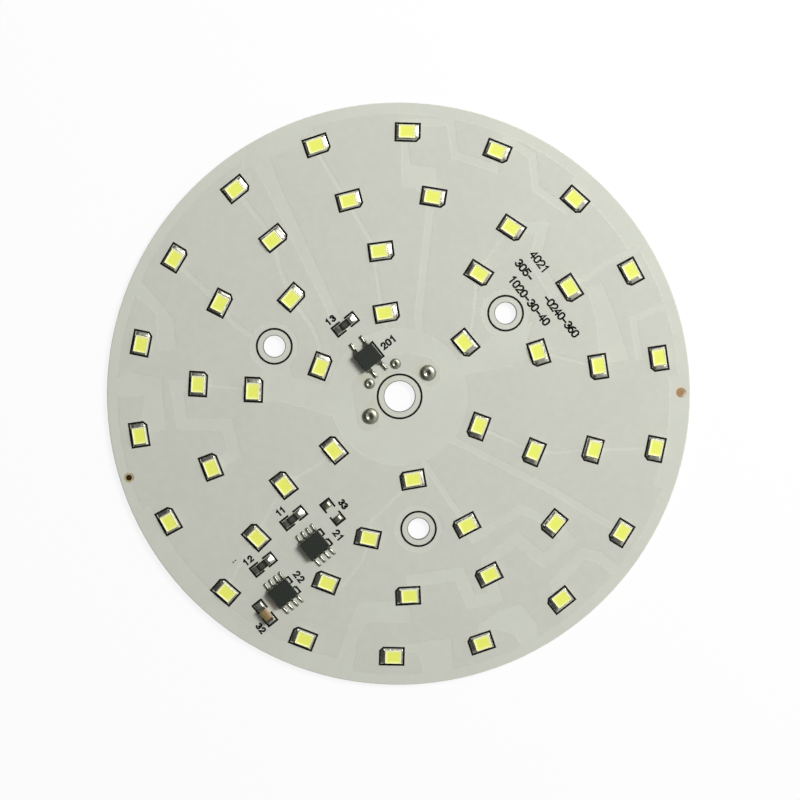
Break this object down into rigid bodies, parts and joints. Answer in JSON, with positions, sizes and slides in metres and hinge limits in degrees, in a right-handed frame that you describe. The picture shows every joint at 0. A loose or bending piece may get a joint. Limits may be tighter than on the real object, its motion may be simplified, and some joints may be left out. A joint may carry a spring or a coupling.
{
  "type": "led module board",
  "caption": "Round aluminium-core circuit board for a lamp, with rings of surface-mount LEDs, a bridge rectifier, driver chips and chip resistors on its white face.",
  "frame": {"origin": "centre of the board's back face, on the axis of the centre hole", "axes": "+Z out of the component side, square to the board; +X towards the outer LED that the ring's angles are counted from, with the right-hand fiducial just below it; +Y in the board's plane"},
  "size_m": [0.12, 0.12, 0.0027],
  "materials": {
    "aluminium_base": "satin",
    "insulation": "matt",
    "copper": "satin",
    "mask": "semi-gloss",
    "ink": "matt",
    "led_lead": "bright",
    "led_housing": "matt",
    "led_chip": "polished",
    "phosphor": "semi-gloss",
    "solder": "bright",
    "case": "matt",
    "case_lead": "satin",
    "resistor_ceramic": "matt",
    "resistor_coat": "semi-gloss",
    "end_metal": "satin",
    "capacitor_ceramic": "satin"
  },
  "bodies": {
    "root": {"base_plate": "aluminium_base", "insulation_layer": "insulation", "copper_circuit": "copper", "solder_mask": "mask", "led_outlines": "ink", "hole_rings": "ink", "part_outlines": "ink", "led_leads_ring_1": "led_lead", "led_leads_ring_2": "led_lead", "led_leads_ring_3": "led_lead", "led_leads_ring_4": "led_lead", "led_housings_ring_1": "led_housing", "led_housings_ring_2": "led_housing", "led_housings_ring_3": "led_housing", "led_housings_ring_4": "led_housing", "led_chips_ring_1": "led_chip", "led_chips_ring_2": "led_chip", "led_chips_ring_3": "led_chip", "led_chips_ring_4": "led_chip", "led_phosphor_ring_1": "phosphor", "led_phosphor_ring_2": "phosphor", "led_phosphor_ring_3": "phosphor", "led_phosphor_ring_4": "phosphor", "led_solder_ring_1": "solder", "led_solder_ring_2": "solder", "led_solder_ring_3": "solder", "led_solder_ring_4": "solder", "bridge_body": "case", "bridge_leads": "case_lead", "bridge_solder": "solder", "driver_1_body": "case", "driver_1_leads": "case_lead", "driver_1_solder": "solder", "driver_2_body": "case", "driver_2_leads": "case_lead", "driver_2_solder": "solder", "resistor_1_body": "resistor_ceramic", "resistor_1_coat": "resistor_coat", "resistor_1_ends": "end_metal", "resistor_2_body": "resistor_ceramic", "resistor_2_coat": "resistor_coat", "resistor_2_ends": "end_metal", "resistor_3_body": "resistor_ceramic", "resistor_3_coat": "resistor_coat", "resistor_3_ends": "end_metal", "capacitor_body": "capacitor_ceramic", "capacitor_ends": "end_metal", "chip_solder": "solder", "spare_pads": "solder", "wire_lands": "solder", "small_lands": "solder"}
  },
  "joints": []
}
